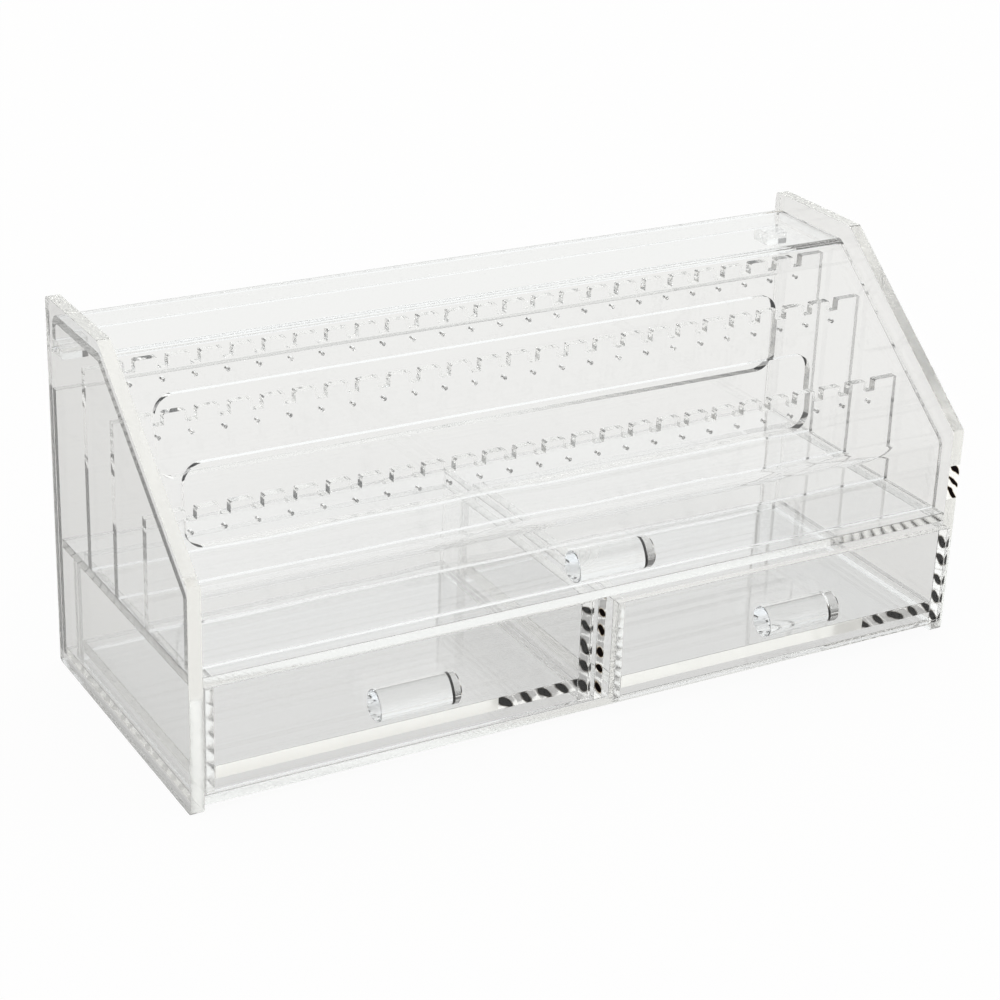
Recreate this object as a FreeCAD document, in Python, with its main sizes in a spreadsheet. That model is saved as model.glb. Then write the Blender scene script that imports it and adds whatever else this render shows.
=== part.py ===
import FreeCAD, Part
import math
import os
import re
import Sketcher

# Earring box with two drawers, cut and bent from clear acrylic sheet.
# Two side panels carry a bottom, a shelf, a divider and a back. Three slotted earring
# strips stand on the shelf. A lid bent from one sheet swings on two pins near the back,
# and two open drawers slide between the bottom and the shelf.
# Millimetres. X runs to the right, Y to the back and Z up. The origin is under the middle
# of the box, at the level of the surface that it stands on.

# Driving sizes: alias, value, what it measures
SIZES = (
    ("case_width", 300.0, "over the outer faces of the side panels"),
    ("case_depth", 117.2, "side panel, front edge to rear edge"),
    ("case_height", 136.0, "side panel, bottom edge to level top edge"),
    ("front_height", 79.7, "side panel, height of its upright front edge"),
    ("slope_angle", 38.7, "degrees, slope of the side panels and the lid"),
    ("side_thick", 4.8, "side panels and hinge blocks"),
    ("panel_corner", 1.5, "rounding of the side panels' corners"),
    ("sheet_thick", 3.2, "lid, strips, divider, back and drawer fronts"),
    ("shelf_thick", 3.5, "shelf and bottom"),
    ("foot_height", 2.9, "bottom's underside above the table"),
    ("drawer_space", 38.5, "clear height between the bottom and the shelf"),
    ("back_slot", 13.0, "back panel's top edge below the hinge blocks"),
    ("lid_inset", 4.6, "lid's front face behind the side panels' front edge"),
    ("lid_sink", 5.8, "lid's level top below the side panels' top edge"),
    ("slope_sink", 6.7, "lid's slope below the side panels' slope, square to it"),
    ("lid_side_gap", 0.5, "lid to each side panel"),
    ("lid_seat_gap", 0.3, "lid's lower edge above the shelf"),
    ("lid_rear_gap", 0.5, "lid's flange in front of the side panels' rear edge"),
    ("flange_drop", 9.4, "lid's rear flange, from the lid's top to its lower edge"),
    ("bend_radius", 1.8, "inside radius of the lid's bends"),
    ("block_wide", 9.0, "hinge block along the pin"),
    ("block_deep", 9.2, "hinge block, front to back"),
    ("pin_diameter", 2.0, "hinge pin"),
    ("pin_clearance", 0.05, "radial, pin in hinge block"),
    ("pin_reach", 8.0, "hinge pin's length inside the hinge block"),
    ("rear_strip_inset", 31.7, "rear strip's front face to the case's rear edge"),
    ("rear_strip_step", 24.0, "middle strip's front face to the rear strip's"),
    ("front_strip_step", 26.0, "front strip's front face to the middle strip's"),
    ("front_headroom", 7.4, "front strip's top below the lid's underside"),
    ("middle_headroom", 5.7, "middle strip's top below the lid's underside"),
    ("rear_headroom", 6.8, "rear strip's top below the lid's underside"),
    ("notch_count", 24.0, "notches in each strip's top edge"),
    ("notch_width", 3.7, "notch"),
    ("notch_depth", 4.0, "notch"),
    ("tooth_round", 0.6, "rounding at the notch's mouth"),
    ("hole_diameter", 1.5, "earring hole under each notch"),
    ("hole_drop", 8.2, "earring hole's centre below the strip's top"),
    ("window_side", 19.9, "strip's end to the window"),
    ("window_height", 30.0, "window"),
    ("window_corner", 7.0, "window's corner radius"),
    ("rear_window_drop", 13.8, "strip's top to the window, rear strip"),
    ("middle_window_drop", 19.4, "strip's top to the window, middle strip"),
    ("drawer_side_gap", 0.5, "drawer to the side panel"),
    ("drawer_inner_gap", 1.5, "drawer to the divider"),
    ("drawer_lift", 0.3, "drawer's lower edge above the bottom"),
    ("drawer_headroom", 0.5, "drawer's top edge below the shelf"),
    ("drawer_rear_gap", 9.0, "closed drawer to the back panel"),
    ("drawer_out", 5.0, "right drawer, pulled out of its closed place"),
    ("wall_thick", 4.0, "drawer's side walls and back"),
    ("floor_thick", 4.8, "drawer's floor"),
    ("floor_lift", 3.6, "drawer's floor above the drawer's lower edge"),
    ("rod_diameter", 11.1, "handle"),
    ("rod_length", 29.5, "handle"),
    ("rod_flat", 0.3, "depth of the flat by which a handle is glued on"),
    ("lid_rod_rise", 10.8, "lid's handle above the lid's lower edge"),
    ("lid_rod_side", 1.4, "lid's handle to the right of the middle"),
    ("drawer_rod_rise", 21.0, "drawer's handle above the drawer's lower edge"),
)

# Places and sizes worked out from the driving sizes
PLACES = (
    ("left_x", "-case_width / 2"),
    ("front_y", "(drawer_out + rod_diameter - rod_flat - case_depth) / 2"),
    ("rear_y", "front_y + case_depth"),
    ("inner_x", "left_x + side_thick"),
    ("inner_width", "case_width - 2 * side_thick"),
    ("inner_depth", "case_depth - sheet_thick"),
    ("bottom_top", "foot_height + shelf_thick"),
    ("shelf_low", "bottom_top + drawer_space"),
    ("shelf_top", "shelf_low + shelf_thick"),
    ("slope_run", "(case_height - front_height) / tan(slope_angle)"),
    ("lid_x", "inner_x + lid_side_gap"),
    ("lid_width", "inner_width - 2 * lid_side_gap"),
    ("lid_low", "shelf_top + lid_seat_gap"),
    ("lid_top", "case_height - lid_sink"),
    ("lid_rear", "case_depth - lid_rear_gap"),
    ("outer_sink", "slope_sink / cos(slope_angle)"),
    ("inner_sink", "(slope_sink + sheet_thick) / cos(slope_angle)"),
    ("low_bend_out", "front_height + lid_inset * tan(slope_angle) - outer_sink"),
    ("low_bend_in", "front_height + (lid_inset + sheet_thick) * tan(slope_angle) - inner_sink"),
    ("high_bend_out", "(lid_top - front_height + outer_sink) / tan(slope_angle)"),
    ("high_bend_in", "(lid_top - sheet_thick - front_height + inner_sink) / tan(slope_angle)"),
    ("flange_low", "lid_top - flange_drop"),
    ("pin_y", "lid_rear - block_deep / 2"),
    ("pin_z", "flange_low - side_thick / 2"),
    ("back_top", "pin_z - side_thick / 2 - back_slot"),
    ("rear_strip_y", "case_depth - rear_strip_inset"),
    ("middle_strip_y", "rear_strip_y - rear_strip_step"),
    ("front_strip_y", "middle_strip_y - front_strip_step"),
    ("notch_pitch", "inner_width / (notch_count + 1)"),
    ("notch_run", "notch_pitch * (notch_count - 1)"),
    ("drawer_width", "(inner_width - sheet_thick) / 2 - drawer_side_gap - drawer_inner_gap"),
    ("drawer_depth", "inner_depth - drawer_rear_gap"),
    ("drawer_low", "bottom_top + drawer_lift"),
    ("drawer_height", "drawer_space - drawer_lift - drawer_headroom"),
    ("left_drawer_x", "inner_x + drawer_side_gap"),
    ("right_drawer_x", "-left_drawer_x - drawer_width"),
    ("right_drawer_y", "front_y - drawer_out"),
)

SHEET_OF = {name: "Sizes" for name, _, _ in SIZES}
SHEET_OF.update({name: "Places" for name, _ in PLACES})

doc = FreeCAD.newDocument("EarringBox")


def formula(text):
    """Return the text with each size's name led by the name of its sheet."""
    def full_name(match):
        word = match.group()
        return SHEET_OF[word] + "." + word if word in SHEET_OF else word
    return re.sub(r"[a-z_]+", full_name, text)


def make_sheets():
    """Write the driving sizes and the worked-out places into two sheets."""
    sizes = doc.addObject("Spreadsheet::Sheet", "Sizes")
    for row, (name, value, note) in enumerate(SIZES, start=1):
        sizes.set("A%d" % row, name)
        sizes.set("B%d" % row, str(value))
        sizes.set("C%d" % row, note)
        sizes.setAlias("B%d" % row, name)
    doc.recompute()
    places = doc.addObject("Spreadsheet::Sheet", "Places")
    for row, (name, text) in enumerate(PLACES, start=1):
        places.set("A%d" % row, name)
        places.setAlias("B%d" % row, name)
        places.set("B%d" % row, "=" + formula(text))
    doc.recompute()


make_sheets()
working = doc.addObject("Spreadsheet::Sheet", "Working")


def number(text):
    """Work out a formula in the cell of a sheet that no object depends on."""
    working.set("A1", "=" + formula(text))
    working.recompute()
    return float(working.get("A1"))


def bind(item, path, text):
    """Tie a property to the sheets by a formula."""
    item.setExpression(path, formula(text))


def place(item, across, back, up):
    """Tie an object's position to the sheets."""
    for axis, text in zip("xyz", (across, back, up)):
        bind(item, "Placement.Base." + axis, text)


def new_body(label):
    """Start a body whose label is its node's name."""
    body = doc.addObject("PartDesign::Body", label)
    body.Label = label
    return body


def new_sketch(body, name, role):
    """Start a sketch on one of the body's own origin planes."""
    plane = next(item for item in body.Origin.OriginFeatures if item.Role == role)
    sketch = body.newObject("Sketcher::SketchObject", body.Label + "_" + name)
    sketch.AttachmentSupport = (plane, [""])
    sketch.MapMode = "FlatFace"
    return sketch


def pin_point(sketch, edge, end, across, up):
    """Hold a sketch point at two formulas, or on an axis where a formula is 0."""
    for kind, axis, text in (("DistanceX", -2, across), ("DistanceY", -1, up)):
        if text == "0":
            sketch.addConstraint(Sketcher.Constraint("PointOnObject", edge, end, axis))
        else:
            distance = Sketcher.Constraint(kind, -1, 1, edge, end, number(text))
            row = sketch.addConstraint(distance)
            bind(sketch, "Constraints[%d]" % row, text)


def point(across, up):
    """Work out a sketch point from two formulas."""
    return FreeCAD.Vector(number(across), number(up), 0)


def arc(start, end, centre):
    """Return the arc that runs counter-clockwise from start to end about the centre."""
    first = math.atan2(start.y - centre.y, start.x - centre.x)
    last = math.atan2(end.y - centre.y, end.x - centre.x)
    whole = Part.Circle(centre, FreeCAD.Vector(0, 0, 1), (start - centre).Length)
    return Part.ArcOfCircle(whole, first, last)


def outline(body, name, role, corners):
    """Draw a closed outline through corners given by formulas.

    A straight line leaves a corner of two formulas. An arc leaves a corner of four, of which
    the last two are the arc's centre.
    """
    sketch = new_sketch(body, name, role)
    count = len(corners)
    points = [point(*corner[:2]) for corner in corners]
    for i, corner in enumerate(corners):
        start, end = points[i], points[(i + 1) % count]
        if len(corner) == 2:
            sketch.addGeometry(Part.LineSegment(start, end))
        else:
            sketch.addGeometry(arc(start, end, point(*corner[2:])))
    for i in range(count):
        sketch.addConstraint(Sketcher.Constraint("Coincident", i, 2, (i + 1) % count, 1))
    for i, corner in enumerate(corners):
        pin_point(sketch, i, 1, corner[0], corner[1])
        if len(corner) == 4:
            across = corner[2]
            distance = Sketcher.Constraint("DistanceX", -1, 1, i, 3, number(across))
            row = sketch.addConstraint(distance)
            bind(sketch, "Constraints[%d]" % row, across)
    return sketch


def rectangle(body, name, role, low, high):
    """Draw a rectangle between two corners given by formulas."""
    corners = [(low[0], low[1]), (high[0], low[1]), (high[0], high[1]), (low[0], high[1])]
    return outline(body, name, role, corners)


def circle(body, name, role, across, up, diameter):
    """Draw a circle whose centre and diameter are given by formulas."""
    sketch = new_sketch(body, name, role)
    centre = point(across, up)
    sketch.addGeometry(Part.Circle(centre, FreeCAD.Vector(0, 0, 1), number(diameter) / 2))
    pin_point(sketch, 0, 3, across, up)
    row = sketch.addConstraint(Sketcher.Constraint("Diameter", 0, number(diameter)))
    bind(sketch, "Constraints[%d]" % row, diameter)
    return sketch


def pad(body, sketch, length):
    """Raise a sketch to a sheet's thickness, towards +X, +Y or +Z."""
    feature = body.newObject("PartDesign::Pad", sketch.Name + "_pad")
    feature.Profile = sketch
    feature.Reversed = on_upright_plane(sketch)
    bind(feature, "Length", length)
    doc.recompute()
    return feature


def on_upright_plane(sketch):
    """Tell whether the sketch lies in XZ, whose normal points to the front."""
    return sketch.AttachmentSupport[0][0].Role == "XZ_Plane"


def pocket(body, sketch):
    """Cut a sketch right through the body, and test that it took something away."""
    before = body.Shape.Volume
    feature = body.newObject("PartDesign::Pocket", sketch.Name + "_cut")
    feature.Profile = sketch
    feature.Type = "ThroughAll"
    feature.Reversed = not on_upright_plane(sketch)
    doc.recompute()
    if body.Shape.Volume >= before:
        raise RuntimeError(feature.Name + " cuts nothing")
    return feature


def repeat(body, feature, sketch):
    """Repeat a cut along the strip, once for each notch."""
    pattern = body.newObject("PartDesign::LinearPattern", feature.Name + "_row")
    pattern.Originals = [feature]
    pattern.Direction = (sketch, ["H_Axis"])
    bind(pattern, "Length", "notch_run")
    bind(pattern, "Occurrences", "notch_count")
    body.Tip = pattern
    doc.recompute()
    return pattern


def edges_along(feature, direction, keep):
    """Name the feature's straight edges along a direction whose middle is to be kept."""
    names = []
    for index, edge in enumerate(feature.Shape.Edges, start=1):
        if not isinstance(edge.Curve, Part.Line):
            continue
        span = edge.Vertexes[-1].Point - edge.Vertexes[0].Point
        if span.cross(direction).Length < 1e-6 and keep(edge.CenterOfMass):
            names.append("Edge%d" % index)
    return names


def fillet(body, name, feature, edge_names, radius):
    """Round the named edges of a feature."""
    rounded = body.newObject("PartDesign::Fillet", body.Label + "_" + name)
    rounded.Base = (feature, edge_names)
    bind(rounded, "Radius", radius)
    doc.recompute()
    return rounded


def near(first, second):
    """Tell whether two lengths agree to within a hundredth of a millimetre."""
    return abs(first - second) < 0.01


ALONG_X = FreeCAD.Vector(1, 0, 0)
ALONG_Y = FreeCAD.Vector(0, 1, 0)


def plate(label, role, width, height, thickness, across, back, up):
    """Make a plain rectangular sheet and put it in its place."""
    body = new_body(label)
    sketch = rectangle(body, "outline", role, ("0", "0"), (width, height))
    pad(body, sketch, thickness)
    place(body, across, back, up)
    return body


def side_panel(label, across):
    """Make a side panel: an upright sheet with a sloping front and a hole for its pin."""
    body = new_body(label)
    corners = [
        ("0", "0"),
        ("case_depth", "0"),
        ("case_depth", "case_height"),
        ("slope_run", "case_height"),
        ("0", "front_height"),
    ]
    sheet = pad(body, outline(body, "outline", "YZ_Plane", corners), "side_thick")
    corner_edges = edges_along(sheet, ALONG_X, lambda middle: True)
    fillet(body, "corners", sheet, corner_edges, "panel_corner")
    pocket(body, circle(body, "pin_hole", "YZ_Plane", "pin_y", "pin_z", "pin_diameter"))
    place(body, across, "front_y", "0")
    return body


def strip_top(strip_y, headroom):
    """Return the formula of a strip's top: a named headroom below the lid's underside."""
    under_slope = "front_height + %s * tan(slope_angle) - inner_sink" % strip_y
    return "min(lid_top - sheet_thick; %s) - %s" % (under_slope, headroom)


def notch_outline(body, height):
    """Draw the first notch in a strip's top edge, with a rounded mouth."""
    left = "notch_pitch - notch_width / 2"
    right = "notch_pitch + notch_width / 2"
    floor = height + " - notch_depth"
    above = height + " + notch_depth"
    round_low = height + " - tooth_round"
    corners = [
        (left, round_low, left + " - tooth_round", round_low),
        (left + " - tooth_round", height),
        (left + " - tooth_round", above),
        (right + " + tooth_round", above),
        (right + " + tooth_round", height, right + " + tooth_round", round_low),
        (right, round_low),
        (right, floor),
        (left, floor),
    ]
    return outline(body, "notch", "XZ_Plane", corners)


def earring_strip(name, window_drop=None):
    """Make an earring strip: a notched and drilled sheet, with or without a window."""
    body = new_body(name + "_earring_strip")
    strip_y = name + "_strip_y"
    height = "(%s - shelf_top)" % strip_top(strip_y, name + "_headroom")
    sheet = rectangle(body, "outline", "XZ_Plane", ("0", "0"), ("inner_width", height))
    pad(body, sheet, "sheet_thick")
    notch = notch_outline(body, height)
    repeat(body, pocket(body, notch), notch)
    hole = circle(
        body, "hole", "XZ_Plane", "notch_pitch", height + " - hole_drop", "hole_diameter")
    repeat(body, pocket(body, hole), hole)
    if window_drop:
        ceiling = "%s - %s" % (height, window_drop)
        window = rectangle(
            body, "window", "XZ_Plane",
            ("window_side", ceiling + " - window_height"),
            ("inner_width - window_side", ceiling))
        opened = pocket(body, window)
        left_edge = number("window_side")
        right_edge = number("inner_width") - left_edge
        window_corners = edges_along(
            opened, ALONG_Y, lambda middle: near(middle.x, left_edge) or near(middle.x, right_edge))
        fillet(body, "window_corners", opened, window_corners, "window_corner")
    place(body, "inner_x", "front_y + " + strip_y, "shelf_top")
    return body


def lid():
    """Make the lid: one sheet bent at its front, along the slope's top and at its rear."""
    body = new_body("lid")
    outside = [
        ("lid_inset", "lid_low"),
        ("lid_inset", "low_bend_out"),
        ("high_bend_out", "lid_top"),
        ("lid_rear", "lid_top"),
        ("lid_rear", "flange_low"),
    ]
    inside = [
        ("lid_rear - sheet_thick", "flange_low"),
        ("lid_rear - sheet_thick", "lid_top - sheet_thick"),
        ("high_bend_in", "lid_top - sheet_thick"),
        ("lid_inset + sheet_thick", "low_bend_in"),
        ("lid_inset + sheet_thick", "lid_low"),
    ]
    sheet = pad(body, outline(body, "outline", "YZ_Plane", outside + inside), "lid_width")
    thick = number("sheet_thick")
    outer_bends = [
        (number("lid_inset"), number("low_bend_out")),
        (number("high_bend_out"), number("lid_top")),
        (number("lid_rear"), number("lid_top")),
    ]
    inner_bends = [
        (number("lid_inset") + thick, number("low_bend_in")),
        (number("high_bend_in"), number("lid_top") - thick),
        (number("lid_rear") - thick, number("lid_top") - thick),
    ]
    bent = sheet
    for name, bends, radius in (
            ("outer_bends", outer_bends, "bend_radius + sheet_thick"),
            ("inner_bends", inner_bends, "bend_radius")):
        edge_names = edges_along(
            bent, ALONG_X,
            lambda middle: any(near(middle.y, y) and near(middle.z, z) for y, z in bends))
        bent = fillet(body, name, bent, edge_names, radius)
    place(body, "lid_x", "front_y", "0")
    return body


def hinge_block(label, across):
    """Make a hinge block, glued under the lid's rear flange and bored for the pin."""
    body = new_body(label)
    sheet = rectangle(body, "outline", "YZ_Plane", ("0", "0"), ("block_deep", "side_thick"))
    pad(body, sheet, "block_wide")
    bore = "pin_diameter + 2 * pin_clearance"
    pocket(body, circle(body, "bore", "YZ_Plane", "block_deep / 2", "side_thick / 2", bore))
    place(body, across, "front_y + pin_y - block_deep / 2", "pin_z - side_thick / 2")
    return body


def rod_along_x(label, diameter, length):
    """Make a plain round rod along X."""
    rod = doc.addObject("Part::Cylinder", label)
    rod.Label = label
    bind(rod, "Radius", diameter + " / 2")
    bind(rod, "Height", length)
    rod.Placement.Rotation = FreeCAD.Rotation(ALONG_Y, 90)
    return rod


def hinge_pin(label, across):
    """Make a hinge pin, through the side panel and into the hinge block."""
    pin = rod_along_x(label, "pin_diameter", "side_thick + lid_side_gap + pin_reach")
    place(pin, across, "front_y + pin_y", "pin_z")
    return pin


def handle(label, middle, face, up):
    """Make a handle: a clear rod with a narrow flat, glued by it to a front face."""
    rod = rod_along_x(label + "_rod", "rod_diameter", "rod_length")
    place(rod, "-rod_length / 2", "rod_flat - rod_diameter / 2", "0")
    waste = doc.addObject("Part::Box", label + "_waste")
    bind(waste, "Length", "2 * rod_length")
    bind(waste, "Width", "rod_diameter")
    bind(waste, "Height", "2 * rod_diameter")
    place(waste, "-rod_length", "0", "-rod_diameter")
    flat_rod = doc.addObject("Part::Cut", label)
    flat_rod.Label = label
    flat_rod.Base = rod
    flat_rod.Tool = waste
    place(flat_rod, middle, face, up)
    return flat_rod


def drawer(side, left, front):
    """Make the six pieces of a drawer whose front's lower left corner is at left, front."""
    height = "drawer_height"
    wall_length = "drawer_depth - sheet_thick"
    span = "drawer_width - 2 * wall_thick"
    behind_front = front + " + sheet_thick"
    return [
        plate(
            side + "_drawer_front", "XZ_Plane", "drawer_width", height, "sheet_thick",
            left, front, "drawer_low"),
        plate(
            side + "_drawer_left_wall", "YZ_Plane", wall_length, height, "wall_thick",
            left, behind_front, "drawer_low"),
        plate(
            side + "_drawer_right_wall", "YZ_Plane", wall_length, height, "wall_thick",
            left + " + drawer_width - wall_thick", behind_front, "drawer_low"),
        plate(
            side + "_drawer_back", "XZ_Plane", span, height, "wall_thick",
            left + " + wall_thick", front + " + drawer_depth - wall_thick", "drawer_low"),
        plate(
            side + "_drawer_floor", "XY_Plane", span, wall_length + " - wall_thick", "floor_thick",
            left + " + wall_thick", behind_front, "drawer_low + floor_lift"),
        handle(
            side + "_drawer_handle", left + " + drawer_width / 2", front,
            "drawer_low + drawer_rod_rise"),
    ]


def case():
    """Make the pieces that stay still."""
    right_x = "-inner_x"
    return [
        side_panel("left_side_panel", "left_x"),
        side_panel("right_side_panel", right_x),
        plate(
            "back_panel", "XZ_Plane", "inner_width", "back_top - foot_height", "sheet_thick",
            "inner_x", "rear_y - sheet_thick", "foot_height"),
        plate(
            "bottom_panel", "XY_Plane", "inner_width", "inner_depth", "shelf_thick",
            "inner_x", "front_y", "foot_height"),
        plate(
            "shelf", "XY_Plane", "inner_width", "inner_depth", "shelf_thick",
            "inner_x", "front_y", "shelf_low"),
        plate(
            "drawer_divider", "YZ_Plane", "inner_depth", "drawer_space", "sheet_thick",
            "-sheet_thick / 2", "front_y", "bottom_top"),
        earring_strip("front"),
        earring_strip("middle", "middle_window_drop"),
        earring_strip("rear", "rear_window_drop"),
        hinge_pin("left_hinge_pin", "left_x"),
        hinge_pin("right_hinge_pin", "-left_x - (side_thick + lid_side_gap + pin_reach)"),
    ]


def swinging_lid():
    """Make the pieces that swing on the hinge pins."""
    return [
        lid(),
        hinge_block("left_hinge_block", "lid_x"),
        hinge_block("right_hinge_block", "-lid_x - block_wide"),
        handle("lid_handle", "lid_rod_side", "front_y + lid_inset", "lid_low + lid_rod_rise"),
    ]


def check(pieces):
    """Stop if any object failed or any piece is not one valid solid."""
    for item in doc.Objects:
        if "Invalid" in item.State or "Error" in item.State:
            raise RuntimeError(item.Label + " failed to recompute")
    for piece in pieces:
        shape = piece.Shape
        if shape.isNull() or not shape.isValid() or len(shape.Solids) != 1:
            raise RuntimeError(piece.Label + " is not one valid solid")


pieces = case() + swinging_lid()
pieces += drawer("left", "left_drawer_x", "front_y")
pieces += drawer("right", "right_drawer_x", "right_drawer_y")
doc.recompute()
check(pieces)
os.makedirs("parts", exist_ok=True)
for piece in pieces:
    piece.Shape.exportStep("parts/" + piece.Label + ".step")
    box = piece.Shape.BoundBox
    print(
        "%-26s x %8.2f %8.2f  y %8.2f %8.2f  z %8.2f %8.2f  %9.1f mm3"
        % (piece.Label, box.XMin, box.XMax, box.YMin, box.YMax, box.ZMin, box.ZMax, piece.Shape.Volume))
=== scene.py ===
import logging
import math
from collections.abc import Callable
from dataclasses import dataclass
from enum import Enum

import bpy
from mathutils import Matrix, Vector


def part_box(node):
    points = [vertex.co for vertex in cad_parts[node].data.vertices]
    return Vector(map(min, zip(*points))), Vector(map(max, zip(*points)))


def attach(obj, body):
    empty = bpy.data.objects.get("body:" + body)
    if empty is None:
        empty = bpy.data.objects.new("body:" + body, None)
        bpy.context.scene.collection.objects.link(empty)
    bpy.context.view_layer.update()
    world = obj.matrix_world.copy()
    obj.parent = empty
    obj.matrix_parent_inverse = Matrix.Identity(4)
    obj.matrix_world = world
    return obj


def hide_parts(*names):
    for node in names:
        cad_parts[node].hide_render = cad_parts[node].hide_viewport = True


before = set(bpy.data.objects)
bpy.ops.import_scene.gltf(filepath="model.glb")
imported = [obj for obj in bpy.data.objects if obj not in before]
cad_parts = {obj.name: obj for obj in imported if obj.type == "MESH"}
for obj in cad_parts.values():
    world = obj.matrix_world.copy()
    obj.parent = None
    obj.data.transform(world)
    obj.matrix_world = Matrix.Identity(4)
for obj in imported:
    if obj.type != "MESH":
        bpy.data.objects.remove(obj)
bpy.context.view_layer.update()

MM = 0.001
ACRYLIC_IOR = 1.49
PLAIN_SPECULAR = 0.5
MOST_BOUNCES = 48
SHARP_EDGE = math.radians(40.0)
FLAT_JOINT = math.radians(1.0)
SAME_POINT = 0.001 * MM
FLATS_WEIGHT = 100
SQUARE_ON = 0.9
DARK_DOORWAY = (-0.72, 0.66, 0.22)
RIGHT = Vector((1.0, 0.0, 0.0))
REAR = Vector((0.0, 1.0, 0.0))
UP = Vector((0.0, 0.0, 1.0))
CUT_EDGE = "cut_edge"
GLUE_FILM = "glue_film"
POCKETS_AND_DARK_GLINTS = "glue_pockets_and_dark_glints"
SEAM_ACROSS = "seam_across"
EDGE_SHADE = "edge_shade"
Colour = tuple[float, float, float, float]
Face = bpy.types.MeshPolygon
WHITE: Colour = (1.0, 1.0, 1.0, 1.0)
LOG = logging.getLogger("earring_box")


class Body(Enum):
    """The bodies that a piece can ride on."""

    CASE = "case"
    LID = "lid"
    LEFT_DRAWER = "left_drawer"
    RIGHT_DRAWER = "right_drawer"


class Slot(Enum):
    """The record's material slots."""

    SHEET = "clear_sheet"
    ROD = "clear_rod"
    PIN = "clear_pin"


class NodeKit:
    """Short ways to add and join shader nodes in one material or world."""

    def __init__(self, owner: bpy.types.Material | bpy.types.World) -> None:
        """Empty the owner's node tree and add its output.

        Args:
            owner: The material or world whose nodes are built.
        """
        owner.use_nodes = True
        self.tree = owner.node_tree
        self.tree.nodes.clear()
        kind = "World" if isinstance(owner, bpy.types.World) else "Material"
        self.output = self.tree.nodes.new("ShaderNodeOutput" + kind)

    def add(self, kind: str, **values: object) -> bpy.types.Node:
        """Add a node and set its properties and unlinked inputs.

        Args:
            kind: The node's type name.
            **values: Property names, or input names with spaces written as underscores.

        Returns:
            The new node.
        """
        node = self.tree.nodes.new(kind)
        for name, value in values.items():
            if hasattr(node, name):
                setattr(node, name, value)
            else:
                node.inputs[name.replace("_", " ")].default_value = value
        return node

    def link(self, source: bpy.types.NodeSocket, target: bpy.types.NodeSocket) -> None:
        """Join an output to an input."""
        self.tree.links.new(source, target)

    def feed(self, value: object, target: bpy.types.NodeSocket) -> None:
        """Give an input a value, either another node's output or plain numbers."""
        if isinstance(value, bpy.types.NodeSocket):
            self.link(value, target)
        else:
            target.default_value = value

    def maths(self, operation: str, first: object, second: object) -> bpy.types.NodeSocket:
        """Combine two values, each a socket or a number.

        Args:
            operation: The Math node's operation.
            first: The first value.
            second: The second value.

        Returns:
            The result's socket.
        """
        node = self.add("ShaderNodeMath", operation=operation)
        self.feed(first, node.inputs[0])
        self.feed(second, node.inputs[1])
        return node.outputs[0]

    def times(self, first: object, second: object) -> bpy.types.NodeSocket:
        """Return the product of two values, each a socket or a number."""
        return self.maths("MULTIPLY", first, second)

    def plus(self, first: object, second: object) -> bpy.types.NodeSocket:
        """Return the sum of two values, each a socket or a number."""
        return self.maths("ADD", first, second)

    def fade(
        self, share: bpy.types.NodeSocket, start: float = 1.0, end: float = 0.0
    ) -> bpy.types.NodeSocket:
        """Return a value that goes from a start to an end as a share goes from zero to one."""
        return self.span(share, 0.0, 1.0, start, end)

    def noise(
        self, point: bpy.types.NodeSocket, scale: float, detail: float
    ) -> bpy.types.NodeSocket:
        """Return the value of a noise pattern at a point."""
        node = self.add("ShaderNodeTexNoise", Scale=scale, Detail=detail)
        self.link(point, node.inputs["Vector"])
        return node.outputs["Fac"]

    def face_mark(self, name: str) -> bpy.types.NodeSocket:
        """Return the value of one of the mesh's own attributes."""
        return self.add("ShaderNodeAttribute", attribute_name=name).outputs["Fac"]

    def tint(
        self, base: bpy.types.NodeSocket | None, over: object, share: bpy.types.NodeSocket
    ) -> bpy.types.NodeSocket:
        """Lay a colour over another by a share.

        Args:
            base: The colour below, or None for white.
            over: The colour on top, a socket or four numbers.
            share: How much of it shows.

        Returns:
            The resulting colour's socket.
        """
        node = self.add("ShaderNodeMixRGB")
        self.link(share, node.inputs["Fac"])
        self.feed(base or WHITE, node.inputs["Color1"])
        self.feed(over, node.inputs["Color2"])
        return node.outputs["Color"]

    def bands(
        self, point: bpy.types.NodeSocket, pitch: float, distortion: float
    ) -> bpy.types.NodeSocket:
        """Return slanting, uneven bands that repeat at a pitch.

        Args:
            point: The surface point.
            pitch: From one band to the next, along X, Y or Z.
            distortion: How uneven the bands are.

        Returns:
            The pattern's value.
        """
        node = self.add(
            "ShaderNodeTexWave", bands_direction="DIAGONAL", Scale=math.pi / (5.0 * pitch),
            Distortion=distortion, Detail=2.0)
        self.link(point, node.inputs["Vector"])
        return node.outputs["Fac"]

    def bump(
        self, height: bpy.types.NodeSocket, depth: float, below: bpy.types.NodeSocket | None
    ) -> bpy.types.NodeSocket:
        """Return a normal bumped by a height.

        Args:
            height: The height, from zero to one.
            depth: How deep a height of one is, in metres.
            below: The normal that it adds to, or None for the mesh's own.

        Returns:
            The bumped normal's socket.
        """
        node = self.add("ShaderNodeBump", Strength=1.0, Distance=depth)
        self.link(height, node.inputs["Height"])
        if below is not None:
            self.link(below, node.inputs["Normal"])
        return node.outputs["Normal"]

    def along(self, point: bpy.types.NodeSocket, direction: Vector) -> bpy.types.NodeSocket:
        """Return how far a point or ray reaches along a direction."""
        node = self.add("ShaderNodeVectorMath", operation="DOT_PRODUCT")
        self.link(point, node.inputs[0])
        node.inputs[1].default_value = direction
        return node.outputs["Value"]

    def mirrored(self) -> bpy.types.NodeSocket:
        """Return one for a ray that was mirrored at least once, and zero for any other."""
        rays = self.add("ShaderNodeLightPath").outputs
        return self.maths("GREATER_THAN", rays["Glossy Depth"], 0.5)

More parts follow.
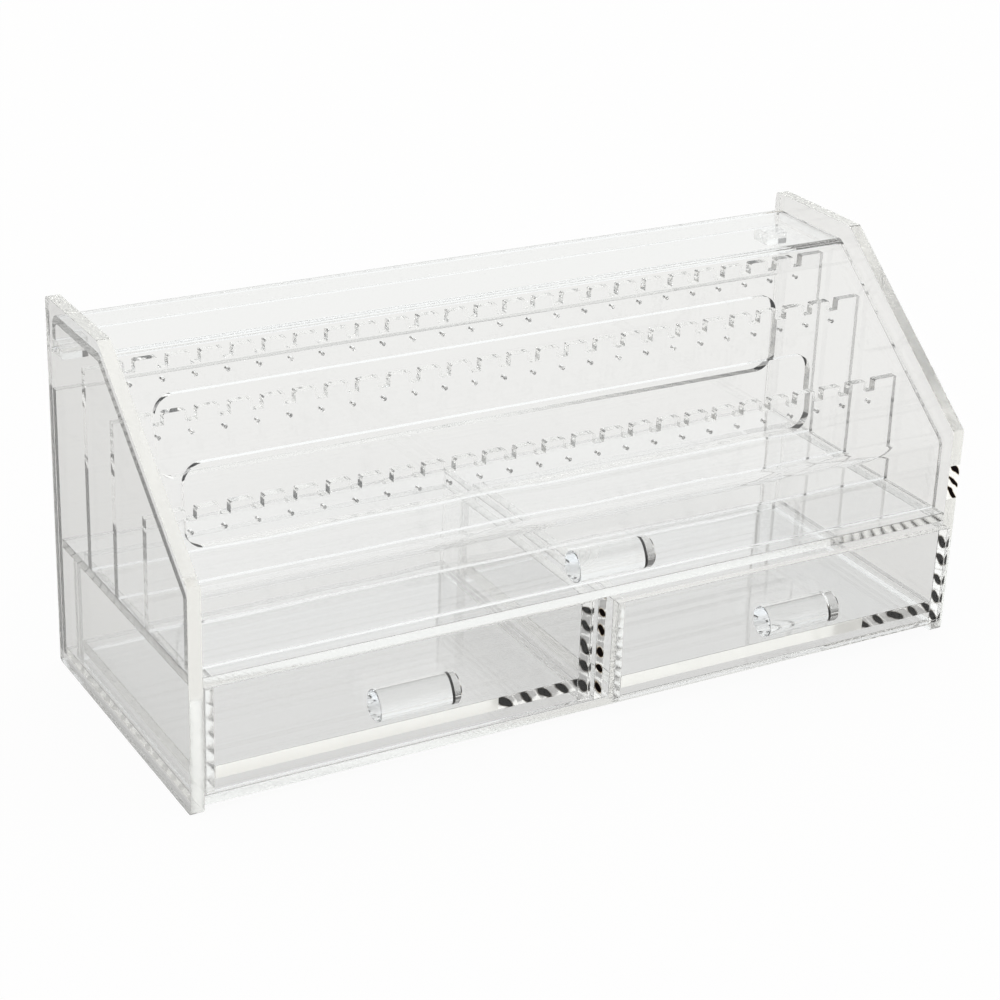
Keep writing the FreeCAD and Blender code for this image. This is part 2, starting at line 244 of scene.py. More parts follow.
    def blend(
        self, share: object, first: bpy.types.Node, second: bpy.types.Node
    ) -> bpy.types.Node:
        """Mix two shaders by a share of the second.

        Args:
            share: How much of the second shader shows, a socket or a number.
            first: The first shader.
            second: The second shader.

        Returns:
            The mixing node.
        """
        mix = self.add("ShaderNodeMixShader")
        self.feed(share, mix.inputs[0])
        self.link(first.outputs[0], mix.inputs[1])
        self.link(second.outputs[0], mix.inputs[2])
        return mix

    def span(
        self, value: bpy.types.NodeSocket, low: float, high: float, to_low: float, to_high: float,
        eased: bool = False,
    ) -> bpy.types.NodeSocket:
        """Map a value from one span to another, clamped.

        Args:
            value: The value to map.
            low: Where the span starts.
            high: Where the span ends.
            to_low: The result at low.
            to_high: The result at high.
            eased: Whether it starts and ends gently.

        Returns:
            The mapped value's socket.
        """
        node = self.add(
            "ShaderNodeMapRange", interpolation_type="SMOOTHSTEP" if eased else "LINEAR",
            From_Min=low, From_Max=high, To_Min=to_low, To_Max=to_high)
        self.link(value, node.inputs["Value"])
        return node.outputs["Result"]


@dataclass(frozen=True)
class ClearAcrylic:
    """Polished clear acrylic: glassy, lightly scuffed, duller on its saw-cut edges.

    Where it is glued, a cream film or a row of dark, gold-rimmed pockets shows. The pockets' black
    hearts and brown and gold rims are painted: they stand for the dark and gold that bubbles in
    the glue show by refraction and mirroring. Painted dark glints of the same kind sit on the
    strips' holes, notches and window corners and on the rods' rims. The film, the clear glue
    between the pockets and, a little, the cut edges scatter light that reaches them through the
    sheets, which a small share of their own light stands for, a painted glow. Attributes of the
    mesh say where the cut edges, films, pockets and dark glints are, how far a point is from a
    seam's middle line, and which edges carry painted shade because they mirror the dark of the
    room.
    """

    name: str
    tint: Colour = (0.90, 0.90, 0.87, 1.0)
    density: float = 2.0
    shadow: Colour = (0.990, 0.991, 0.990, 1.0)
    scuff_scale: float = 220.0
    scuff_roughness: float = 0.05
    scuffs_show: tuple[float, float] = (0.58, 0.72)
    worn_places: tuple[float, float] = (0.45, 0.65)
    least_worn: float = 0.15
    edge_roughness: float = 0.12
    edge_clearness: float = 0.90
    edge_colour: Colour = (0.97, 0.97, 0.95, 1.0)
    film_clearness: float = 0.55
    film_roughness: float = 0.10
    film_colour: Colour = (0.98, 0.975, 0.93, 1.0)
    shade_colour: Colour = (0.015, 0.014, 0.014, 1.0)
    edge_light: float = 0.05
    film_light: float = 0.42
    gap_light: float = 0.22
    wave_scale: float = 26.0
    wave_depth: float = 0.01 * MM
    grain_scale: float = 900.0
    grain_share: float = 0.002
    saw_pitch: float = 2.2 * MM
    saw_depth: float = 0.004 * MM
    saw_unevenness: float = 6.0
    pocket_pitch: float = 7.4 * MM
    pocket_unevenness: float = 3.2
    pocket_rounding: float = 0.4
    # Painted tones of the glue pockets, dark and gold by refraction and mirroring: where each
    # starts, its colour, and in alpha how much shows.
    pocket_tones: tuple[tuple[float, Colour], ...] = (
        (0.28, (0.90, 0.88, 0.80, 0.0)),
        (0.42, (0.78, 0.68, 0.48, 0.45)),
        (0.54, (0.28, 0.19, 0.09, 0.90)),
        (0.64, (0.008, 0.006, 0.006, 1.0)),
    )
    wavy_from: float = 0.0
    wavy_to: float = 0.0
    wavy_depth: float = 0.0
    wavy_scale: float = 34.0

    def make(self) -> bpy.types.Material:
        """Build the material.

        Returns:
            The finished material.
        """
        material = bpy.data.materials.new(self.name)
        kit = NodeKit(material)
        point = kit.add("ShaderNodeTexCoord").outputs["Object"]
        edge = kit.face_mark(CUT_EDGE)
        film = kit.face_mark(GLUE_FILM)
        pockets = self.pockets(kit, point)
        marks = kit.face_mark(POCKETS_AND_DARK_GLINTS)
        # Painted shade on edges that mirror the dark of the room, tinted near black below.
        shade = kit.span(kit.face_mark(EDGE_SHADE), 0.0, 1.0, 0.0, 1.0)
        # Painted dark: the pockets and dark glints where marked, and the painted shade of edges.
        dark = kit.maths("MAXIMUM", kit.times(pockets.outputs["Alpha"], marks), shade)
        clearness = kit.times(
            kit.fade(edge, 1.0, self.edge_clearness), kit.fade(film, 1.0, self.film_clearness))
        colour = kit.tint(kit.tint(None, self.edge_colour, edge), self.film_colour, film)
        darkened = kit.tint(colour, pockets.outputs["Color"], dark)
        # Painted glow: own light of the film, the glue between pockets and the cut edges, for the
        # light they scatter.
        painted_glow = kit.plus(kit.times(film, self.film_light), kit.times(marks, self.gap_light))
        painted_glow = kit.plus(painted_glow, kit.times(edge, self.edge_light))
        clear = kit.add("ShaderNodeBsdfPrincipled", IOR=ACRYLIC_IOR)
        looks = {
            "Base Color": kit.tint(darkened, self.shade_colour, shade),
            "Roughness": self.roughness(kit, point, edge, film),
            "Transmission Weight": kit.times(clearness, kit.fade(dark)),
            "Specular IOR Level": kit.fade(dark, PLAIN_SPECULAR),
            "Emission Color": colour,
            "Emission Strength": kit.times(painted_glow, kit.fade(dark)),
            "Normal": self.surface(kit, point, edge),
        }
        for socket, source in looks.items():
            kit.link(source, clear.inputs[socket])
        letting = kit.add("ShaderNodeBsdfTransparent", Color=self.shadow)
        lamp_ray = kit.add("ShaderNodeLightPath").outputs["Is Shadow Ray"]
        kit.link(kit.blend(lamp_ray, clear, letting).outputs[0], kit.output.inputs["Surface"])
        depth = kit.add("ShaderNodeVolumeAbsorption", Color=self.tint, Density=self.density)
        kit.link(depth.outputs[0], kit.output.inputs["Volume"])
        return material

    def roughness(
        self, kit: NodeKit, point: bpy.types.NodeSocket, edge: bpy.types.NodeSocket,
        film: bpy.types.NodeSocket,
    ) -> bpy.types.NodeSocket:
        """Return how rough the surface is: scuffed in places, duller on edges and films.

        Args:
            kit: The material's node kit.
            point: The surface point.
            edge: One on a cut edge and zero elsewhere.
            film: One on a glue film and zero elsewhere.

        Returns:
            The roughness's socket.
        """
        scuffs = kit.span(kit.noise(point, self.scuff_scale, 6.0), *self.scuffs_show, 0.0, 1.0)
        places = kit.span(
            kit.noise(point, self.wave_scale, 2.0), *self.worn_places, self.least_worn, 1.0)
        worn = kit.times(kit.times(scuffs, places), self.scuff_roughness)
        dull = kit.plus(kit.times(edge, self.edge_roughness), kit.times(film, self.film_roughness))
        return kit.plus(worn, dull)

    def pockets(self, kit: NodeKit, point: bpy.types.NodeSocket) -> bpy.types.Node:
        """Make the pattern of painted dark pockets in the glue: black hearts, brown and gold rims.

        Args:
            kit: The material's node kit.
            point: The surface point.

        Returns:
            A colour ramp, whose alpha is how much of each pocket's colour shows.
        """
        ramp = kit.add("ShaderNodeValToRGB")
        stops = ramp.color_ramp.elements
        for place, (position, colour) in enumerate(self.pocket_tones):
            stop = stops[place] if place < len(stops) else stops.new(position)
            stop.position = position
            stop.color = colour
        across = kit.face_mark(SEAM_ACROSS)
        narrowing = kit.times(kit.times(across, across), self.pocket_rounding)
        bands = kit.bands(point, self.pocket_pitch, self.pocket_unevenness)
        kit.link(kit.maths("SUBTRACT", bands, narrowing), ramp.inputs["Fac"])
        return ramp

    def surface(
        self, kit: NodeKit, point: bpy.types.NodeSocket, edge: bpy.types.NodeSocket
    ) -> bpy.types.NodeSocket:
        """Return a normal with faint waves and grain, saw marks on edges and waves at bends.

        Args:
            kit: The material's node kit.
            point: The surface point.
            edge: One on a cut edge and zero elsewhere.

        Returns:
            The bumped normal's socket.
        """
        waves = kit.noise(point, self.wave_scale, 1.0)
        grain = kit.noise(point, self.grain_scale, 3.0)
        height = kit.plus(waves, kit.times(grain, self.grain_share))
        normal = kit.bump(height, self.wave_depth, None)
        sawn = kit.times(kit.bands(point, self.saw_pitch, self.saw_unevenness), edge)
        normal = kit.bump(sawn, self.saw_depth, normal)
        if self.wavy_depth:
            level = kit.along(point, UP)
            middle = (self.wavy_from + self.wavy_to) / 2
            rising = kit.span(level, self.wavy_from, middle, 0.0, 1.0, eased=True)
            falling = kit.span(level, middle, self.wavy_to, 1.0, 0.0, eased=True)
            swell = kit.maths("SUBTRACT", kit.noise(point, self.wavy_scale, 0.0), 0.5)
            bent = kit.times(kit.times(rising, falling), swell)
            normal = kit.bump(bent, self.wavy_depth, normal)
        return normal


@dataclass(frozen=True)
class PaleFloor:
    """A plain pale floor that shows white to the camera and keeps the box's soft shadow.

    In and through the acrylic it shows its own pale grey, as in the photograph.
    """

    name: str = "pale_floor"
    colour: Colour = (0.86, 0.855, 0.84, 1.0)
    glow: Colour = (0.87, 0.87, 0.855, 1.0)
    whiteness: float = 0.955
    seen_through: float = 0.75
    mirrored: Colour = (0.20, 0.20, 0.195, 1.0)
    dark: Colour = (0.02, 0.018, 0.016, 1.0)
    dark_side: tuple[float, float, float] = (-0.8, 0.6, 0.0)
    sheet_end: float = 0.40
    dark_from: float = 0.60

    def make(self) -> bpy.types.Material:
        """Build the material.

        Returns:
            The finished material.
        """
        material = bpy.data.materials.new(self.name)
        kit = NodeKit(material)
        plain = kit.add("ShaderNodeBsdfDiffuse", Color=self.colour)
        rays = kit.add("ShaderNodeLightPath").outputs
        point = kit.add("ShaderNodeTexCoord").outputs["Object"]
        off_sheet = kit.span(
            kit.along(point, Vector(self.dark_side).normalized()), self.sheet_end,
            self.dark_from, 0.0, 1.0)
        seen = kit.blend(
            kit.times(off_sheet, kit.mirrored()), kit.add("ShaderNodeEmission", Color=self.glow),
            kit.add("ShaderNodeEmission", Color=self.dark))
        pale = kit.blend(
            rays["Is Glossy Ray"], plain, kit.add("ShaderNodeEmission", Color=self.mirrored))
        pale = kit.blend(rays["Is Transmission Ray"], pale, kit.blend(
            self.seen_through, plain, seen))
        white = kit.add("ShaderNodeEmission", Color=WHITE)
        share = kit.times(rays["Is Camera Ray"], self.whiteness)
        kit.link(kit.blend(share, pale, white).outputs[0], kit.output.inputs["Surface"])
        return material


@dataclass(frozen=True)
class Patch:
    """A soft-edged round patch of the surroundings.

    It is plain colour up to the inner half angle and gone at the outer one, both in degrees. A
    patch that is only mirrored shows in glints, and not straight through the sheets.
    """

    towards: tuple[float, float, float]
    inner: float
    outer: float
    colour: Colour
    only_mirrored: bool = True


@dataclass(frozen=True)
class SoftRoom:
    """The surroundings: even light on everything, and what the acrylic mirrors and lets through.

    The acrylic sees a pale room with a bright sheet behind on the right, a bright ceiling, and
    the dark room beyond the backdrop's left edge, which its corners pick up as dark marks.
    """

    name: str = "soft_room"
    light: Colour = (1.0, 0.99, 0.975, 1.0)
    light_strength: float = 0.97
    pale: Colour = (0.80, 0.80, 0.79, 1.0)
    patches: tuple[Patch, ...] = (
        Patch((0.46, 0.79, 0.41), 28.0, 45.0, (0.98, 1.0, 1.0, 1.0), only_mirrored=False),
        Patch((0.0, 0.1, 1.0), 32.0, 44.0, (0.95, 0.98, 1.0, 1.0), only_mirrored=False),
        Patch((-0.5, -0.85, 0.15), 14.0, 30.0, (0.34, 0.33, 0.32, 1.0)),
        Patch(DARK_DOORWAY, 46.0, 52.0, (0.95, 0.93, 0.88, 1.0)),
        Patch(DARK_DOORWAY, 43.0, 46.0, (0.42, 0.33, 0.20, 1.0)),
        Patch(DARK_DOORWAY, 39.0, 43.0, (0.012, 0.010, 0.009, 1.0)),
    )

    def make(self) -> bpy.types.World:
        """Build the world.

        Returns:
            The finished world.
        """
        world = bpy.data.worlds.new(self.name)
        kit = NodeKit(world)
        lighting = kit.add(
            "ShaderNodeBackground", Color=self.light, Strength=self.light_strength)
        backdrop = kit.add("ShaderNodeBackground", Color=WHITE)
        rays = kit.add("ShaderNodeLightPath").outputs
        mirrored = kit.mirrored()
        ray = kit.add("ShaderNodeTexCoord").outputs["Generated"]
        seen = kit.add("ShaderNodeBackground", Color=self.pale)
        for patch in self.patches:
            reach = kit.along(ray, Vector(patch.towards).normalized())
            share = kit.span(
                reach, math.cos(math.radians(patch.outer)), math.cos(math.radians(patch.inner)),
                0.0, 1.0)
            if patch.only_mirrored:
                share = kit.times(share, mirrored)
            seen = kit.blend(share, seen, kit.add("ShaderNodeBackground", Color=patch.colour))
        plain = kit.blend(rays["Is Camera Ray"], lighting, backdrop)
        through = kit.maths("MAXIMUM", rays["Is Glossy Ray"], rays["Is Transmission Ray"])
        kit.link(kit.blend(through, plain, seen).outputs[0], kit.output.inputs["Surface"])
        return world


def lone(piece: bpy.types.Object) -> None:
    """Deselect everything, then select this piece and make it the active one."""
    bpy.ops.object.select_all(action="DESELECT")
    piece.select_set(True)
    bpy.context.view_layer.objects.active = piece


def settle(piece: bpy.types.Object) -> None:
    """Move a piece's place, turn and size into its mesh."""
    lone(piece)
    bpy.ops.object.transform_apply(location=True, rotation=True, scale=True)


def apply_modifiers(piece: bpy.types.Object) -> None:
    """Apply every modifier of a piece, in order."""
    lone(piece)
    for modifier in list(piece.modifiers):
        bpy.ops.object.modifier_apply(modifier=modifier.name)


def ease_edges(piece: bpy.types.Object, width: float) -> None:
    """Round a piece's sharp edges a little, as a flame polish does.

    Args:
        piece: The piece.
        width: The rounding's width in metres.
    """
    bevel = piece.modifiers.new("eased_edges", "BEVEL")
    bevel.width = width
    bevel.segments = 2
    bevel.limit_method = "ANGLE"
    bevel.angle_limit = SHARP_EDGE
    bevel.use_clamp_overlap = True
    apply_modifiers(piece)
    keep_flats_flat(piece)


def keep_flats_flat(piece: bpy.types.Object) -> None:
    """Shade a piece smoothly over its narrow rounded edges, and its large faces flat."""
    lone(piece)
    bpy.ops.object.shade_smooth()
    flats = piece.modifiers.new("true_flats", "WEIGHTED_NORMAL")
    flats.mode = "FACE_AREA"
    flats.weight = FLATS_WEIGHT
    apply_modifiers(piece)


def mark(
    piece: bpy.types.Object, name: str, chosen: Callable[[Face], float], strength: float = 1.0
) -> None:
    """Write a face attribute, a strength on the chosen faces and zero elsewhere.

    Args:
        piece: The piece.
        name: The attribute's name.
        chosen: Says whether, or by what share, a face is chosen.
        strength: The chosen faces' value.
    """
    marks = piece.data.attributes.new(name, "FLOAT", "FACE")
    marks.data.foreach_set("value", [strength * chosen(face) for face in piece.data.polygons])


def mark_pockets(
    piece: bpy.types.Object, chosen: Callable[[Face], bool], strength: float = 1.0
) -> None:
    """Mark long glued faces that hold a row of painted dark pockets, and each corner's side of the
    middle.

    Args:
        piece: The piece.
        chosen: Says whether a face is such a seam.
        strength: How strongly the pockets show.
    """
    mark(piece, POCKETS_AND_DARK_GLINTS, chosen, strength)
    across = piece.data.attributes.new(SEAM_ACROSS, "FLOAT", "CORNER")
    for face in filter(chosen, piece.data.polygons):
        corners = [piece.data.vertices[index].co for index in face.vertices]
        reaches = [[corner[axis] for corner in corners] for axis in range(3)]
        by_length = sorted(reaches, key=lambda reach: max(reach) - min(reach))
        width = by_length[1]
        low, high = min(width), max(width)
        for place, reach in zip(face.loop_indices, width):
            across.data[place].value = 2 * (reach - low) / (high - low) - 1


def shade_edges(piece: bpy.types.Object, amount: Callable[[Face, Vector], float]) -> None:
    """Darken the edges that mirror the dark of the room.

    Args:
        piece: The piece.
        amount: Says how dark a face is at one of its corners. The finish holds it between
            zero and one.
    """
    shades = piece.data.attributes.new(EDGE_SHADE, "FLOAT", "CORNER")
    for face in piece.data.polygons:
        for place, index in zip(face.loop_indices, face.vertices):
            shades.data[place].value = amount(face, piece.data.vertices[index].co)


def mark_cut_edges(piece: bpy.types.Object, strength: float) -> None:
    """Mark a flat sheet's faces that don't face along its thickness as cut edges.

    Args:
        piece: The sheet.
        strength: How dull its edges are, from zero to one.
    """
    size = piece.dimensions
    across = min(range(3), key=lambda axis: size[axis])
    mark(piece, CUT_EDGE, lambda face: abs(face.normal[across]) < 0.5, strength)


def faces_front(face: Face) -> bool:
    """Say whether a face looks straight to the front."""
    return face.normal.y < -SQUARE_ON


def faces_sideways(face: Face) -> bool:
    """Say whether a face looks straight to the left or right."""
    return abs(face.normal.x) > SQUARE_ON


def turns_sideways(face: Face) -> bool:
    """Say whether a face lies on a rounded corner or a hole of an upright sheet."""
    return abs(face.normal.y) < 0.5 and 0.2 < abs(face.normal.x) < 0.98


def turns_to_rear(face: Face) -> bool:
    """Say whether a face lies on the rounding between a left and a rear face."""
    return face.normal.y > 0.3 and face.normal.x < -0.3


def cut_across(piece: bpy.types.Object, place: Vector, across: Vector) -> None:
    """Split a piece's faces along a plane and keep both sides.

    Args:
        piece: The piece.
        place: A point in the plane.
        across: The plane's normal.
    """
    lone(piece)
    bpy.ops.object.mode_set(mode="EDIT")
    bpy.ops.mesh.select_all(action="SELECT")
    bpy.ops.mesh.bisect(plane_co=place, plane_no=across)
    bpy.ops.object.mode_set(mode="OBJECT")
    keep_flats_flat(piece)


def block(name: str, low: Vector, high: Vector, seam: float) -> bpy.types.Object:
    """Add a cube and stretch it between two corners, less a seam's width all round.

    Args:
        name: The piece's name.
        low: The lowest corner.
        high: The highest corner.
        seam: How far each face stands in from the corners' box.

    Returns:
        The block.
    """
    bpy.ops.object.select_all(action="DESELECT")
    bpy.ops.mesh.primitive_cube_add(size=1.0, location=(low + high) / 2)
    piece = bpy.context.active_object
    piece.name = name
    piece.scale = (high - low) - Vector((2 * seam,) * 3)
    settle(piece)
    return piece


@dataclass
class Workshop:
    """What every piece goes through: a seam's width off its faces, eased edges, a finish."""

    finishes: dict[Slot, bpy.types.Material]
    seam: float = 0.03 * MM
    eased: float = 0.25 * MM
    rod_rim: float = 0.5 * MM
    pin_rim: float = 0.1 * MM
    rod_sides: int = 96
    inner_dullness: float = 0.4
    outer_dullness: float = 1.0
    turning_marks: float = 0.3

    def dress(self, piece: bpy.types.Object, node: str, body: Body, slot: Slot) -> None:
        """Give a piece its finish, put it on its body and let it stand for its node.

        Args:
            piece: The piece.
            node: The node that it replaces.
            body: The body that it rides on.
            slot: The material slot that it takes its finish from.
        """
        piece.data.materials.clear()
        piece.data.materials.append(self.finishes[slot])
        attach(piece, body.value)
        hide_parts(node)
        LOG.info("%s rides on %s", piece.name, body.value)

    def sheet(self, node: str, body: Body) -> bpy.types.Object:
        """Make a plain sheet with eased edges where its node is.

        Args:
            node: The node that it replaces.
            body: The body that it rides on.

        Returns:
            The finished sheet.
        """
        low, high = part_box(node)
        piece = block(node + "_sheet", low, high, self.seam)
        ease_edges(piece, self.eased)
        mark_cut_edges(piece, self.inner_dullness)
        self.dress(piece, node, body, Slot.SHEET)
        return piece

    def cut_sheet(
        self, node: str, body: Body, edges: Callable[[Face], bool] | None = None,
        finish: bpy.types.Material | None = None,
    ) -> bpy.types.Object:
        """Make a sheet whose cut outline follows its node's: a copy, merged and eased.

        Args:
            node: The node that it replaces.
            body: The body that it rides on.
            edges: Says which faces are cut edges, for a sheet that isn't flat.
            finish: A finish of its own, or None for the slot's.

        Returns:
            The finished sheet.
        """
        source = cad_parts[node]
        piece = source.copy()
        piece.data = source.data.copy()
        piece.parent = None
        piece.matrix_world = Matrix.Identity(4)
        piece.name = node + "_sheet"
        bpy.context.scene.collection.objects.link(piece)
        lone(piece)
        bpy.ops.object.mode_set(mode="EDIT")
        bpy.ops.mesh.select_all(action="SELECT")
        bpy.ops.mesh.remove_doubles(threshold=SAME_POINT)
        bpy.ops.mesh.dissolve_limited(angle_limit=FLAT_JOINT)
        bpy.ops.object.mode_set(mode="OBJECT")
        low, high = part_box(node)
        middle = (low + high) / 2
        shrink = Matrix.Diagonal((*(1 - 2 * self.seam / length for length in high - low), 1.0))
        piece.data.transform(Matrix.Translation(middle) @ shrink @ Matrix.Translation(-middle))
        ease_edges(piece, self.eased)
        if edges is None:
            outer = "side_panel" in node
            mark_cut_edges(piece, self.outer_dullness if outer else self.inner_dullness)
        else:
            mark(piece, CUT_EDGE, edges, self.inner_dullness)
        self.dress(piece, node, body, Slot.SHEET)
        if finish is not None:
            piece.data.materials[0] = finish
        return piece


@dataclass
class Case:
    """The box that stays still: side panels, back, bottom, shelf, divider and strips."""

    plain: tuple[str, ...] = ("back_panel", "bottom_panel", "shelf", "drawer_divider")
    cut: tuple[str, ...] = (
        "left_side_panel",
        "right_side_panel",
        "front_earring_strip",
        "middle_earring_strip",
        "rear_earring_strip",
    )
    pins: tuple[str, ...] = ("left_hinge_pin", "right_hinge_pin")
    side_pockets: float = 5.0 * MM
    side_glow: float = 0.065
    seam_marks: float = 0.25
    seam_film: float = 0.6
    marked_from: float = 53.5 * MM
    marked_to: float = 66.5 * MM
    rear_shade: float = 1.0
    notches_reach: float = 11.0 * MM
    notch_dark_glints: float = 0.4
    end_reach: float = 0.5 * MM
    end_shade: float = 0.35
    sill_shade: float = 0.75

    def build(self, shop: Workshop) -> None:
        """Build and dress every piece of the case.

        Args:
            shop: The workshop that finishes the pieces.
        """
        for node in self.plain:
            sheet = shop.sheet(node, Body.CASE)
            if node == "drawer_divider":
                mark_pockets(sheet, faces_front)
            elif node == "bottom_panel":
                mark_pockets(sheet, faces_sideways, self.seam_marks)
                mark(sheet, GLUE_FILM, faces_sideways, self.seam_film)
        # The side panels' cut edges get a stronger painted glow.
        thick = ClearAcrylic(
            "side_sheet_acrylic", pocket_pitch=self.side_pockets, edge_light=self.side_glow)
        finish = thick.make()
        for node in self.cut:
            sheet = shop.cut_sheet(
                node, Body.CASE, finish=finish if "side_panel" in node else None)
            if "strip" in node:
                self.finish_strip(sheet, node)
            elif node == "right_side_panel":
                self.finish_right_panel(sheet)
        for node in self.pins:
            turned_rod(shop, node, Body.CASE, Slot.PIN)

    def finish_right_panel(self, panel: bpy.types.Object) -> None:
        """Mark a short row of painted dark pockets on the panel's front edge and paint shade on
        its inner rear edge.

        Args:
            panel: The right side panel.
        """
        for level in (self.marked_from, self.marked_to):
            cut_across(panel, level * UP, UP)
        mark_pockets(panel, lambda face: (
            faces_front(face) and self.marked_from < face.center.z < self.marked_to))
        shade_edges(panel, lambda face, corner: self.rear_shade * turns_to_rear(face))

    def finish_strip(self, strip: bpy.types.Object, node: str) -> None:
        """Paint dark glints on a strip's holes, notches and window corners, and shade on its right
        end.

        The rear strip's window has a lower edge whose painted shade also grows darker to the
        right.

        Args:
            strip: The strip.
            node: The node that it replaces.
        """
        low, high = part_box(node)
        level = high.z - self.notches_reach
        # Painted dark glints with painted glow between them: full on holes and window corners,
        # weaker on the notches.
        mark(strip, POCKETS_AND_DARK_GLINTS, lambda face: turns_sideways(face) * (
            1.0 if face.center.z < level else self.notch_dark_glints))
        sill_shade = self.sill_shade if node == "rear_earring_strip" else 0.0

        def amount(face: Face, corner: Vector) -> float:
            """Return how dark a face is at a corner."""
            if face.normal.x > 0.98 and face.center.x > high.x - self.end_reach:
                return self.end_shade
            if face.normal.z > SQUARE_ON and low.z + self.end_reach < face.center.z < level:
                return sill_shade * corner.x / high.x
            return 0.0

        shade_edges(strip, amount)


def turned_rod(shop: Workshop, node: str, body: Body, slot: Slot) -> None:
    """Make a round rod along X where its node is, with eased rims and a handle's flat rear side.

    Args:
        shop: The workshop that finishes the piece.
        node: The node that it replaces.
        body: The body that it rides on.
        slot: The material slot that it takes its finish from.
    """
    low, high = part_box(node)
    radius = (high.z - low.z) / 2
    middle = (low + high) / 2
    centre = Vector((middle.x, low.y + radius, middle.z))
    bpy.ops.object.select_all(action="DESELECT")
    bpy.ops.mesh.primitive_cylinder_add(
        vertices=shop.rod_sides, radius=radius - shop.seam, depth=high.x - low.x - 2 * shop.seam,
        location=centre, rotation=(0.0, math.pi / 2, 0.0))
    piece = bpy.context.active_object
    piece.name = node + "_rod"
    settle(piece)
    if slot is Slot.ROD:
        bpy.ops.object.mode_set(mode="EDIT")
        bpy.ops.mesh.select_all(action="SELECT")
        bpy.ops.mesh.bisect(
            plane_co=(high.y - shop.seam) * REAR, plane_no=REAR, use_fill=True, clear_outer=True)
        bpy.ops.object.mode_set(mode="OBJECT")
    ease_edges(piece, shop.rod_rim if slot is Slot.ROD else shop.pin_rim)
    if slot is Slot.ROD:
        # Painted dark reflections on the rims, with painted glow between them, as polished rods
        # show where they mirror the dark.
        mark(piece, POCKETS_AND_DARK_GLINTS, lambda face: 0.15 < face.normal.x < 0.95)
        mark(piece, CUT_EDGE, lambda face: abs(face.normal.x) < 0.5, shop.turning_marks)
    shop.dress(piece, node, body, slot)


@dataclass
class SwingingLid:
    """The bent lid with its handle and the two hinge blocks under its rear flange."""

    thick: float = 3.2 * MM
    edge_band: float = 1.0 * MM
    wavy_from: float = 60.0 * MM
    wavy_to: float = 98.0 * MM
    wavy_depth: float = 0.9 * MM

    def build(self, shop: Workshop) -> None:
        """Build and dress every piece of the lid.

        Args:
            shop: The workshop that finishes the pieces.
        """
        low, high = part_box("lid")
        bent = ClearAcrylic(
            "bent_sheet_acrylic", wavy_from=self.wavy_from, wavy_to=self.wavy_to,
            wavy_depth=self.wavy_depth)

        def is_cut(face: Face) -> bool:
            """Say whether a face is one of the bent sheet's cut edges."""
            at_an_end = (
                face.center.z < low.z + self.edge_band or face.center.y > high.y - self.thick)
            return faces_sideways(face) or (face.normal.z < -SQUARE_ON and at_an_end)

        shop.cut_sheet("lid", Body.LID, is_cut, bent.make())
        for side in ("left", "right"):
            shop.cut_sheet(side + "_hinge_block", Body.LID)
        turned_rod(shop, "lid_handle", Body.LID, Slot.ROD)


@dataclass
class Drawer:
    """One open drawer: front, two side walls, back, raised floor and rod handle."""

    side: str
    body: Body
    sheets: tuple[str, ...] = ("front", "left_wall", "right_wall", "back", "floor")
    marked_reach: float = 31.0 * MM

    def build(self, shop: Workshop) -> None:
        """Build and dress every piece of the drawer.

        Args:
            shop: The workshop that finishes the pieces.
        """
        for part in self.sheets:
            sheet = shop.sheet(self.side + "_drawer_" + part, self.body)
            if part == "right_wall":
                mark_pockets(sheet, faces_front)
            elif part == "floor":
                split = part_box(self.side + "_drawer_floor")[1].x - self.marked_reach
                cut_across(sheet, split * RIGHT, RIGHT)
                mark_pockets(sheet, lambda face: faces_front(face) and face.center.x > split)
                mark(sheet, GLUE_FILM, lambda face: faces_front(face) and face.center.x < split)
        turned_rod(shop, self.side + "_drawer_handle", self.body, Slot.ROD)


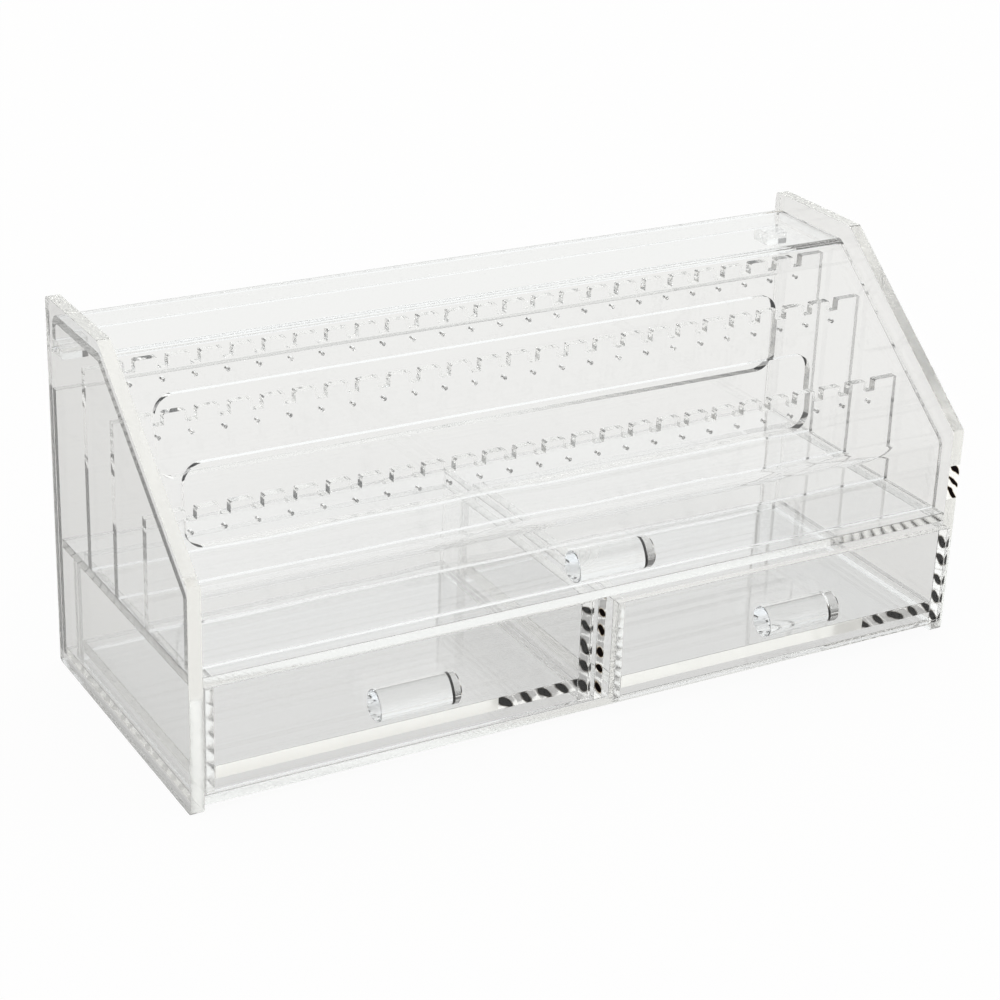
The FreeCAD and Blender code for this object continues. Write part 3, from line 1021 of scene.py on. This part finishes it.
@dataclass(frozen=True)
class Studio:
    """The pale floor, the soft surroundings and the camera at the photograph's angle."""

    camera_place: tuple[float, float, float] = (-0.40513, -0.67105, 0.41102)
    azimuth: float = math.radians(-30.37)
    elevation: float = math.radians(24.13)
    roll: float = math.radians(2.19)
    lens: float = 88.44
    floor_size: float = 12.0
    floor_level: float = -0.05 * MM

    def build(self) -> None:
        """Build the floor, the surroundings and the camera."""
        self.floor()
        bpy.context.scene.world = SoftRoom().make()
        self.camera()

    def floor(self) -> None:
        """Lay the floor under the box."""
        bpy.ops.object.select_all(action="DESELECT")
        bpy.ops.mesh.primitive_plane_add(size=self.floor_size, location=self.floor_level * UP)
        floor = bpy.context.active_object
        floor.name = "floor"
        floor.data.materials.append(PaleFloor().make())

    def camera(self) -> None:
        """Place the camera as the photograph was taken."""
        back = Vector((
            math.sin(self.azimuth) * math.cos(self.elevation),
            -math.cos(self.azimuth) * math.cos(self.elevation),
            math.sin(self.elevation)))
        level_right = (-back).cross(UP).normalized()
        level_up = level_right.cross(-back)
        right = math.cos(self.roll) * level_right + math.sin(self.roll) * level_up
        up = math.cos(self.roll) * level_up - math.sin(self.roll) * level_right
        data = bpy.data.cameras.new("photo_camera")
        data.lens = self.lens
        camera = bpy.data.objects.new("photo_camera", data)
        bpy.context.scene.collection.objects.link(camera)
        turn = Matrix((right, up, back)).transposed()
        camera.matrix_world = Matrix.Translation(Vector(self.camera_place)) @ turn.to_4x4()
        bpy.context.scene.camera = camera


def set_light_paths() -> None:
    """Let rays cross the many clear sheets, and show colours as they are."""
    scene = bpy.context.scene
    scene.view_settings.view_transform = "Standard"
    scene.cycles.max_bounces = MOST_BOUNCES
    scene.cycles.transmission_bounces = MOST_BOUNCES
    scene.cycles.glossy_bounces = MOST_BOUNCES
    scene.cycles.transparent_max_bounces = MOST_BOUNCES
    scene.cycles.caustics_reflective = False
    scene.cycles.caustics_refractive = False


def main() -> None:
    """Build the box and its surroundings in order."""
    logging.basicConfig(level=logging.INFO, format="%(name)s: %(message)s")
    finishes = {
        Slot.SHEET: ClearAcrylic("clear_sheet_acrylic").make(),
        Slot.ROD: ClearAcrylic(
            "clear_rod_acrylic", tint=(0.84, 0.93, 1.0, 1.0), density=6.0, saw_pitch=1.3 * MM,
        ).make(),
        Slot.PIN: ClearAcrylic("clear_pin_acrylic", tint=(0.85, 0.86, 0.86, 1.0)).make(),
    }
    shop = Workshop(finishes)
    Case().build(shop)
    SwingingLid().build(shop)
    Drawer("left", Body.LEFT_DRAWER).build(shop)
    Drawer("right", Body.RIGHT_DRAWER).build(shop)
    Studio().build()
    set_light_paths()


if __name__ == "__main__":
    main()
